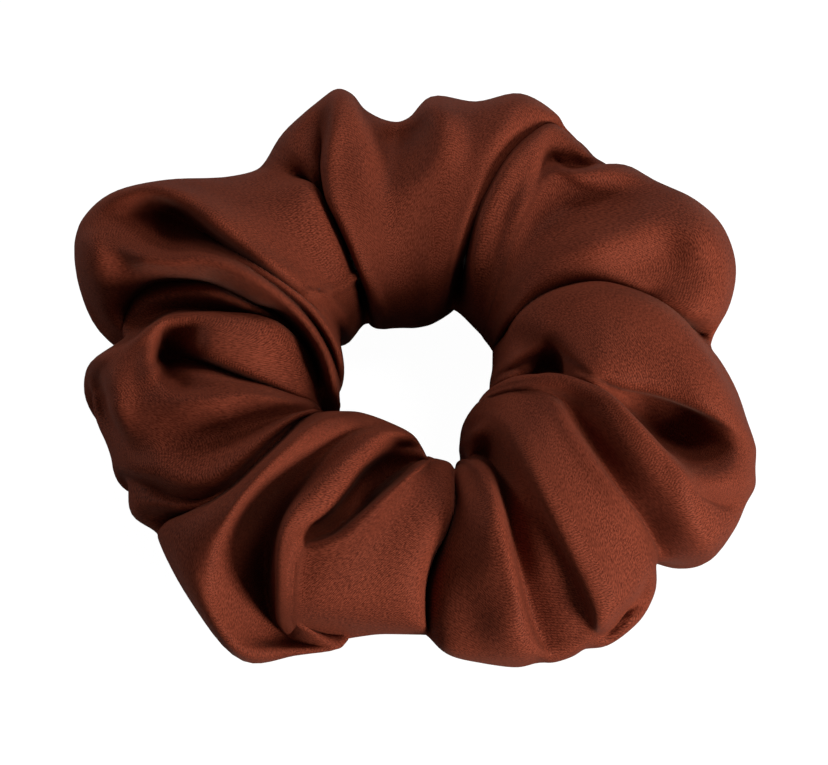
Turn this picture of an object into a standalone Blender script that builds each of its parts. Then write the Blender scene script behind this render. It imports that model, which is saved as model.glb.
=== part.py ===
"""Scrunchie: a satin sleeve gathered on a flat elastic loop.

One rectangle of cloth is rolled into a tube along a seam, slid onto the elastic and closed by tucking
one end into the hemmed other end. Three lockstitched seams hold it: the tube seam, the closing seam and
the zigzag over the elastic's lap. Each seam has a needle thread and a bobbin thread.
Metres, +Z up. The ring lies flat on Z = 0, with the origin under the middle of its outline.
"""

import math
from collections import namedtuple

import bmesh
import bpy
from mathutils import Vector

# Elastic loop: a flat band on edge, its ends lapped and sewn
ELASTIC_RADIUS = 0.0285
ELASTIC_WIDTH = 0.008
ELASTIC_THICKNESS = 0.0010
ELASTIC_LAP = 0.010
ELASTIC_REST_GAP = 0.0005
LAP_GAP = 0.0003
ELASTIC_STEPS = 72

# Cloth
CLOTH = 0.0005
LAYER_GAP = 0.0004
SEAM_ALLOWANCE = 0.007
SEAM_GAP = 0.0003
SEAM_DEG = 215.0

# Gathered tube
RIM_RADIUS = 0.055
HOLE_RADIUS = 0.013
PUFF_HEIGHT = 0.035
PUFF_SINK = 0.0025
VALLEY_DEPTH = 0.010
VALLEY_RIM_SHARE = 0.35
VALLEY_HOLE_SHARE = 0.20
VALLEY_BOTTOM_SHARE = 0.40
SECTION_POINTS = 20
SECTION_SQUARENESS = 0.93
COLUMNS_PER_HALF_PUFF = 3
CREST_ROUNDNESS = 0.65

# Closure: the neck where the hemmed end takes the tucked end
CLOSURE_DEG = 122.0
HEM_DEPTH = 0.0032
TUCK_DEPTH = 0.004
NECK_LENGTH = 0.0044
NECK_RIM_DROP = 0.0085
NECK_HOLE_RISE = 0.0035
NECK_TOP_DROP = 0.005
NECK_BOTTOM_RISE = 0.003
HEM_TURN = 0.0005

# Sewing thread
THREAD = 0.0003
THREAD_GAP = 0.0003
SEAM_LINE_DEPTH = 0.0035
CLOSING_STITCHES = 28
CLOSING_INSET = 0.002
STITCH_RISE = 0.0002
ZIGZAG_TURNS = 9
ZIGZAG_MARGIN = 0.0010

# Each puff, clockwise from the closure: ring angle of its crest at the rim, on top and at the hole, and its
# reach as a share of the rim's radius
Puff = namedtuple("Puff", "rim_deg top_deg hole_deg reach")
PUFFS = (
    Puff(105, 108, 109, 1.00),
    Puff(80, 79, 77, 0.99),
    Puff(54, 59, 58, 0.955),
    Puff(30, 30, 43, 1.035),
    Puff(-7, -1, 16, 0.975),
    Puff(-32, -29, -26, 1.035),
    Puff(-52, -53, -45, 1.005),
    Puff(-76, -75, -67, 0.95),
    Puff(-100, -94, -84, 0.845),
    Puff(-116.5, -117, -111, 1.00),
    Puff(-131, -131, -134, 1.00),
    Puff(-160, -153, -150, 0.915),
    Puff(-185, -183, -167, 0.93),
    Puff(-200, -202, -183, 1.06),
    Puff(-222, -219, -220, 1.05),
)

# The valley after each puff but the last: ring angles as above, and its share of the full depth
Valley = namedtuple("Valley", "rim_deg top_deg hole_deg depth")
VALLEYS = (
    Valley(95, 95, 92, 0.45),
    Valley(66, 67, 66, 0.90),
    Valley(43, 43, 50, 0.15),
    Valley(11, 18, 33, 1.00),
    Valley(-24, -19, 0, 1.20),
    Valley(-42, -37, -34, 0.90),
    Valley(-68, -64, -56, 1.10),
    Valley(-87, -82, -77, 0.95),
    Valley(-112, -109, -98, 1.15),
    Valley(-120, -124.5, -125, 0.90),
    Valley(-148, -138, -141, 0.90),
    Valley(-178, -173, -160, 1.10),
    Valley(-191, -191, -174, 1.05),
    Valley(-208, -206, -197, 0.60),
)

# Colour and roughness
Finish = namedtuple("Finish", "colour roughness")
SATIN = Finish((0.130, 0.028, 0.014), 0.5)
BROWN_THREAD = Finish((0.110, 0.024, 0.012), 0.7)
WHITE_BRAID = Finish((0.72, 0.70, 0.66), 0.8)

# One cross-section of the tube: where it lies on the ring, how far it reaches and its seam allowance
Line = namedtuple("Line", "rim_deg top_deg hole_deg reach hole top bottom allowance")
SHEET_INSET_HEM = 2 * CLOTH + LAYER_GAP
SHEET_INSET_TUCK = SHEET_INSET_HEM + LAYER_GAP
TUCK_INNER_FACE = SHEET_INSET_TUCK + CLOTH
LAP_HALF = ELASTIC_THICKNESS + LAP_GAP / 2


def ring_deg(length):
    """Ring angle that this length covers along the elastic."""
    return math.degrees(length / ELASTIC_RADIUS)


def neck_line(deg, inset):
    """Drawn-in section at the closure, smaller by an inset."""
    return Line(
        deg,
        deg,
        deg,
        RIM_RADIUS - NECK_RIM_DROP - inset,
        HOLE_RADIUS + NECK_HOLE_RISE + inset,
        PUFF_HEIGHT - NECK_TOP_DROP - inset,
        NECK_BOTTOM_RISE + inset,
        LAYER_GAP / 2,
    )


def crest_line(puff):
    """Fullest section of a puff. It sinks below the resting plane, which then flattens it."""
    reach = RIM_RADIUS * puff.reach
    return Line(*puff[:3], reach, HOLE_RADIUS, PUFF_HEIGHT, -PUFF_SINK, SEAM_ALLOWANCE)


def valley_line(valley, before, after):
    """Drawn-in section between two puffs: deepest on top, shallow at the rim and the hole."""
    depth = VALLEY_DEPTH * valley.depth
    return Line(
        *valley[:3],
        RIM_RADIUS * (before.reach + after.reach) / 2 - depth * VALLEY_RIM_SHARE,
        HOLE_RADIUS + depth * VALLEY_HOLE_SHARE,
        PUFF_HEIGHT - depth,
        depth * VALLEY_BOTTOM_SHARE,
        SEAM_ALLOWANCE,
    )


def between(low, high, share):
    """Section on the flank from a low line (share 0) to a crest (share 1): it turns evenly and swells early."""
    swell = math.sin(share * math.pi / 2) ** CREST_ROUNDNESS
    turned = [a + (b - a) * share for a, b in zip(low[:3], high[:3])]
    swollen = [a + (b - a) * swell for a, b in zip(low[3:], high[3:])]
    return Line(*turned, *swollen)


def flank(low, high, rising):
    """Sections from low to high, or back, without the one that it starts on."""
    shares = [n / COLUMNS_PER_HALF_PUFF for n in range(COLUMNS_PER_HALF_PUFF + 1)]
    if not rising:
        shares.reverse()
    return [between(low, high, share) for share in shares[1:]]


def sleeve_lines():
    """Every section of the sheet in order, from the hem's raw edge round the ring to the tucked end."""
    hem_turn = ring_deg(HEM_TURN)
    neck_start = neck_line(CLOSURE_DEG - ring_deg(NECK_LENGTH), 0)
    lines = [
        neck_line(CLOSURE_DEG - ring_deg(HEM_DEPTH), SHEET_INSET_HEM),
        neck_line(CLOSURE_DEG - hem_turn, SHEET_INSET_HEM),
        neck_line(CLOSURE_DEG, SHEET_INSET_HEM / 2),
        neck_line(CLOSURE_DEG - hem_turn, 0),
        neck_line(CLOSURE_DEG - ring_deg(CLOSING_INSET), 0),
        neck_start,
    ]
    low = neck_start
    for number, puff in enumerate(PUFFS):
        crest = crest_line(puff)
        lines += flank(low, crest, rising=True)
        if number < len(PUFFS) - 1:
            low = valley_line(VALLEYS[number], puff, PUFFS[number + 1])
        else:
            low = neck_line(CLOSURE_DEG + hem_turn - 360, SHEET_INSET_TUCK)
        lines += flank(low, crest, rising=False)
    lines.append(neck_line(CLOSURE_DEG - ring_deg(TUCK_DEPTH) - 360, SHEET_INSET_TUCK))
    return lines


def at(line, psi, radius, height):
    """Point at a radius and height, on the ring angle that the line has at section angle psi."""
    towards_hole = (1 - math.cos(psi)) / 2
    deg = line.rim_deg + (line.hole_deg - line.rim_deg) * towards_hole
    if math.sin(psi) > 0:
        bow = line.top_deg - (line.rim_deg + line.hole_deg) / 2
        deg += bow * math.sin(psi) ** 2
    turn = math.radians(deg)
    return Vector((radius * math.cos(turn), radius * math.sin(turn), height))


def squared(value):
    """A sine or cosine, swollen towards a rounded square."""
    return math.copysign(abs(value) ** SECTION_SQUARENESS, value)


def on_section(line, psi, inset=0.0):
    """(radius, height) on the section, moved in by an inset."""
    half_width = (line.reach - line.hole) / 2 - inset
    half_height = (line.top - line.bottom) / 2 - inset
    radius = (line.reach + line.hole) / 2 + half_width * squared(math.cos(psi))
    height = (line.top + line.bottom) / 2 + half_height * squared(math.sin(psi))
    return radius, max(height, 0.0)


def elastic_height():
    """Height of the elastic's middle: it rests low in the tube, on the closing seam's inner stitches."""
    line = neck_line(CLOSURE_DEG, 0)
    stitches = TUCK_INNER_FACE + THREAD_GAP + THREAD
    half_width = (line.reach - line.hole) / 2 - stitches
    across = (ELASTIC_RADIUS - LAP_HALF - (line.reach + line.hole) / 2) / half_width
    psi = -math.acos(math.copysign(abs(across) ** (1 / SECTION_SQUARENESS), across))
    return on_section(line, psi, stitches)[1] + ELASTIC_REST_GAP + ELASTIC_WIDTH / 2


def sheet_row(line):
    """Points across the cloth: one seam allowance, round the tube, the other allowance."""
    seam = math.radians(SEAM_DEG)
    radius, height = on_section(line, seam)
    middle = Vector(((line.reach + line.hole) / 2 - radius, (line.top + line.bottom) / 2 - height))
    inward = middle.normalized()
    across = Vector((-inward.y, inward.x))
    depths = (line.allowance, min(SEAM_LINE_DEPTH, line.allowance / 2))
    edges = []
    for side in (1, -1):
        offset = across * (side * SEAM_GAP / 2)
        edge = [Vector((radius, height)) + inward * depth + offset for depth in depths]
        edges.append([at(line, seam, *point) for point in edge])
    half_gap = SEAM_GAP / 2 / ((line.reach - line.hole) / 2)
    first = seam - half_gap
    step = (2 * half_gap - math.tau) / (SECTION_POINTS - 1)
    around = [first + step * n for n in range(SECTION_POINTS)]
    tube = [at(line, psi, *on_section(line, psi)) for psi in around]
    return edges[0] + tube + edges[1][::-1]


def new_material(name, finish):
    material = bpy.data.materials.new(name)
    material.use_nodes = True
    shader = material.node_tree.nodes["Principled BSDF"]
    shader.inputs["Base Color"].default_value = (*finish.colour, 1)
    shader.inputs["Roughness"].default_value = finish.roughness
    shader.inputs["Metallic"].default_value = 0
    return material


def new_object(name, data, finish, parent):
    """Object with a material of its own."""
    obj = bpy.data.objects.new(name, data)
    bpy.data.collections["scrunchie"].objects.link(obj)
    obj.data.materials.append(new_material(name, finish))
    obj.parent = parent
    return obj


def sleeve_mesh(lines):
    """The cloth's right side as an open rectangle of quads."""
    mesh = bmesh.new()
    rows = [[mesh.verts.new(point) for point in sheet_row(line)] for line in lines]
    for row, following in zip(rows, rows[1:]):
        for a, b, c, d in zip(row, row[1:], following[1:], following):
            mesh.faces.new((a, d, c, b))
    data = bpy.data.meshes.new("satin_sleeve")
    mesh.to_mesh(data)
    mesh.free()
    data.shade_smooth()
    return data


def make_sleeve(lines, parent):
    sleeve = new_object("satin_sleeve", sleeve_mesh(lines), SATIN, parent)
    wall = sleeve.modifiers.new("cloth", "SOLIDIFY")
    wall.thickness = CLOTH
    wall.offset = -1
    return sleeve


def elastic_offset(deg):
    """How far the band's middle lies from the loop's radius: its ends step apart to lap, inner end first."""
    step = (ELASTIC_THICKNESS + LAP_GAP) / 2
    lap = ring_deg(ELASTIC_LAP)
    from_start = min(deg / lap, 1.5)
    from_end = min((360 + lap - deg) / lap, 1.5)
    return step * (max(from_start - 1, 0) * 2 - max(from_end - 1, 0) * 2)


def make_elastic(parent):
    """Flat outline of the lapped band, extruded to its width."""
    lap = ring_deg(ELASTIC_LAP)
    start = CLOSURE_DEG - ring_deg(NECK_LENGTH) / 2 - lap / 2
    outer = []
    inner = []
    for n in range(ELASTIC_STEPS + 1):
        deg = (360 + lap) * n / ELASTIC_STEPS
        turn = math.radians(start + deg)
        radius = ELASTIC_RADIUS + elastic_offset(deg)
        for side, path in ((0.5, outer), (-0.5, inner)):
            reach = radius + side * ELASTIC_THICKNESS
            path.append((reach * math.cos(turn), reach * math.sin(turn)))
    outline = outer + inner[::-1]
    curve = bpy.data.curves.new("elastic_band", "CURVE")
    curve.dimensions = "2D"
    curve.fill_mode = "BOTH"
    curve.extrude = ELASTIC_WIDTH / 2
    spline = curve.splines.new("POLY")
    spline.points.add(len(outline) - 1)
    for point, (x, y) in zip(spline.points, outline):
        point.co = (x, y, 0, 1)
    spline.use_cyclic_u = True
    elastic = new_object("elastic_band", curve, WHITE_BRAID, parent)
    elastic.location.z = elastic_height()
    return elastic


def make_thread(name, points, parent):
    """One thread along these points."""
    curve = bpy.data.curves.new(name, "CURVE")
    curve.dimensions = "3D"
    curve.bevel_depth = THREAD / 2
    curve.bevel_resolution = 1
    curve.use_fill_caps = True
    spline = curve.splines.new("POLY")
    spline.points.add(len(points) - 1)
    for point, place in zip(spline.points, points):
        point.co = (*place, 1)
    return new_object(name, curve, BROWN_THREAD, parent)


def seam_thread_points(mesh, column, first_row, last_row):
    """Along the wrong side of the seam allowance, a thread's gap off the cloth."""
    width = SECTION_POINTS + 4
    away = CLOTH + THREAD_GAP + THREAD / 2
    found = []
    for row in range(first_row, last_row + 1):
        vertex = mesh.vertices[row * width + column]
        found.append(vertex.co - vertex.normal * away)
    return found


def make_tube_seam_threads(sleeve, line_count, parent):
    """The tube seam is sewn before the tube is closed, so it ends a flank short of the neck at each end."""
    hem_lines = 6
    first = hem_lines + COLUMNS_PER_HALF_PUFF - 1
    last = line_count - 2 - COLUMNS_PER_HALF_PUFF
    columns = {"tube_seam_needle_thread": 1, "tube_seam_bobbin_thread": SECTION_POINTS + 2}
    for name, column in columns.items():
        make_thread(name, seam_thread_points(sleeve.data, column, first, last), parent)


def closing_points(inset, outwards):
    """Stitches round the neck, each one bowed away from the cloth."""
    line = neck_line(CLOSURE_DEG - ring_deg(CLOSING_INSET), 0)
    samples_per_stitch = 4
    count = CLOSING_STITCHES * samples_per_stitch
    first = math.radians(SEAM_DEG) + math.tau / CLOSING_STITCHES / 2
    sweep = math.tau * (CLOSING_STITCHES - 1) / CLOSING_STITCHES
    found = []
    for n in range(count + 1):
        psi = first + sweep * n / count
        bow = STITCH_RISE * abs(math.sin(math.pi * n / samples_per_stitch))
        found.append(at(line, psi, *on_section(line, psi, inset - outwards * bow)))
    return found


def make_closing_threads(parent):
    off_cloth = THREAD_GAP + THREAD / 2
    make_thread("closing_seam_needle_thread", closing_points(-off_cloth, 1), parent)
    make_thread("closing_seam_bobbin_thread", closing_points(TUCK_INNER_FACE + off_cloth, 0), parent)


def zigzag_points(radius):
    """Zigzag across the lap, at this radius."""
    middle = CLOSURE_DEG - ring_deg(NECK_LENGTH) / 2
    length = ring_deg(ELASTIC_LAP - 2 * ZIGZAG_MARGIN)
    rise = ELASTIC_WIDTH / 2 - ZIGZAG_MARGIN
    found = []
    for n in range(ZIGZAG_TURNS + 1):
        turn = math.radians(middle - length / 2 + length * n / ZIGZAG_TURNS)
        height = elastic_height() + (rise if n % 2 else -rise)
        found.append((radius * math.cos(turn), radius * math.sin(turn), height))
    return found


def make_lap_threads(parent):
    off_band = LAP_HALF + THREAD_GAP / 2 + THREAD / 2
    make_thread("elastic_lap_needle_thread", zigzag_points(ELASTIC_RADIUS + off_band), parent)
    make_thread("elastic_lap_bobbin_thread", zigzag_points(ELASTIC_RADIUS - off_band), parent)


def outline_middle(lines):
    """Middle of the outline seen from above."""
    points = [point for line in lines for point in sheet_row(line)]
    xs = [point.x for point in points]
    ys = [point.y for point in points]
    return Vector(((min(xs) + max(xs)) / 2, (min(ys) + max(ys)) / 2, 0))


def main():
    for obj in list(bpy.data.objects):
        bpy.data.objects.remove(obj)
    collection = bpy.data.collections.new("scrunchie")
    bpy.context.scene.collection.children.link(collection)

    lines = sleeve_lines()
    assembly = bpy.data.objects.new("assembly", None)
    collection.objects.link(assembly)
    assembly.location = -outline_middle(lines)

    sleeve = make_sleeve(lines, assembly)
    make_elastic(assembly)
    make_tube_seam_threads(sleeve, len(lines), assembly)
    make_closing_threads(assembly)
    make_lap_threads(assembly)


main()
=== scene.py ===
"""Dresses the scrunchie's frame: a gathered satin sleeve, its stitches, the light and the camera."""

import math
from collections import namedtuple

import bpy
import numpy as np
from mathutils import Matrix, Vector
from mathutils.bvhtree import BVHTree


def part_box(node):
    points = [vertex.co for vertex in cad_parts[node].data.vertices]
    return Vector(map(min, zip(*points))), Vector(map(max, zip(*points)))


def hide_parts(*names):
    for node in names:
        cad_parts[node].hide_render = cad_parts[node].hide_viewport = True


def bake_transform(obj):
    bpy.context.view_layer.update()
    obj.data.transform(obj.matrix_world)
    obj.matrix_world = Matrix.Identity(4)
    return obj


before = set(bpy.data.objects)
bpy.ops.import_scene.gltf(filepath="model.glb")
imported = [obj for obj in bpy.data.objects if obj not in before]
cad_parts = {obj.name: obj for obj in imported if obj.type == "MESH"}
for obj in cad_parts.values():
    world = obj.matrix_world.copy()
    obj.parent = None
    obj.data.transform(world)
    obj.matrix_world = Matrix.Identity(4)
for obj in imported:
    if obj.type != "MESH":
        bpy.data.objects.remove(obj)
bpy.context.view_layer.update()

# Photograph's frame and the camera that takes it, in pixels and metres
IMAGE_WIDTH = 828
IMAGE_HEIGHT = 765
SENSOR = 0.036
MILLIMETRES = 1000
CAMERA_ELEVATION = math.radians(55)
CAMERA_DISTANCE = 0.58
CAMERA_CLIP_END = 10
CAMERA_TARGET = Vector((0.0, 0.0, 0.0151))
PIXELS_PER_METRE = 6270
FOCAL_PIXELS = PIXELS_PER_METRE * CAMERA_DISTANCE

# Ring that the folds lie on
RING_RADIUS = 0.0335
RING_HALF_WIDTH = 0.0200
RING_HALF_HEIGHT = 0.0165
RING_MIDDLE = 0.0165
FLOOR_CLEARANCE = 0.0003

# Search along a sight line, how many times its lift a pocket goes on along that line, and the largest share
# of the ring that it goes through
SIGHT_REACH = 0.09
SIGHT_STEPS = 1801
SIGHT_DEPTH = 1.15
POCKET_SHARE = 0.72

# Sleeve: its cloth, how far it keeps from the elastic, and the grid of points that it is lofted from
CLOTH = 0.0003
ELASTIC_CLEARANCE = 0.0018
COLUMNS_PER_FOLD = 6
SEEN_ROWS = 72
HIDDEN_ROWS = 48
HIDDEN_POINTS = 9

# Folds that are repeated before the first and after the last, so that the loft closes smoothly
FOLDS_BEFORE = 2
FOLDS_AFTER = 3

# One step of a fold's lift, where it shows and where it is hidden
LIFT_SCALE = 0.0013
HIDDEN_LIFT_SCALE = 0.0008

# Size of the ring under a fold: how many folds on each side share one mean, the share of the seen way from
# each end on which it changes to that mean, and the share of the hidden way on which a larger end fades
BODY_REACH = 3
RIM_SHARE = 0.35
END_SHARE = 0.25

# Where an extra point rounds off each end of a fold line, as a share of the step between two pixels
END_ROUNDING = 0.3

# Softening: its rounds and share. Rounding over: its share, and its reach in rows and its rounds at the rim
# and at the hole.
SOFTEN_ROUNDS = 2
SOFTEN_SHARE = 0.3
ROUND_OVER_SHARE = 0.5
RIM_ROUNDING = (3, 8)
HOLE_ROUNDING = (5, 10)

# Guards against dividing by nothing
SMALLEST_GAP = 1e-6
SMALLEST_NORM = 1e-12

# Seam along the tube, just under the hole's edge: two allowances of cloth that lie face to face inside
SEAM_ROWS_UNDER = 8
SEAM_ROW = SEEN_ROWS + SEAM_ROWS_UNDER
SEAM_ALLOWANCE = 0.007
SEAM_DEPTHS = (SEAM_ALLOWANCE, SEAM_ALLOWANCE / 2)
SEAM_GAP = 0.0003

# Hem that closes the tube: the pixels that show it, and the crease and stitches along it
HEM_PIXELS = ((359, 283), (345, 285), (331, 291), (318, 297), (306, 299))
HEM_STEPS = 240
HEM_CREASE = 0.0012
HEM_CREASE_WIDTH = 0.0006
HEM_PUCKERS = 26
HEM_PUCKER_SHARE = 0.25
HEM_INSIDE = 0.1

# Sewing thread and elastic
THREAD = 0.0003
THREAD_SIDES = 6
STITCH = 0.0024
STITCH_RISE = 0.00012
STITCH_SEAT = THREAD / 4
BOBBIN_DEPTH = 2 * THREAD
ELASTIC_THICKNESS = 0.001
ELASTIC_LAP = 0.010
ELASTIC_LAP_STEP = 0.65 * ELASTIC_THICKNESS
ELASTIC_STEPS = 180

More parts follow.
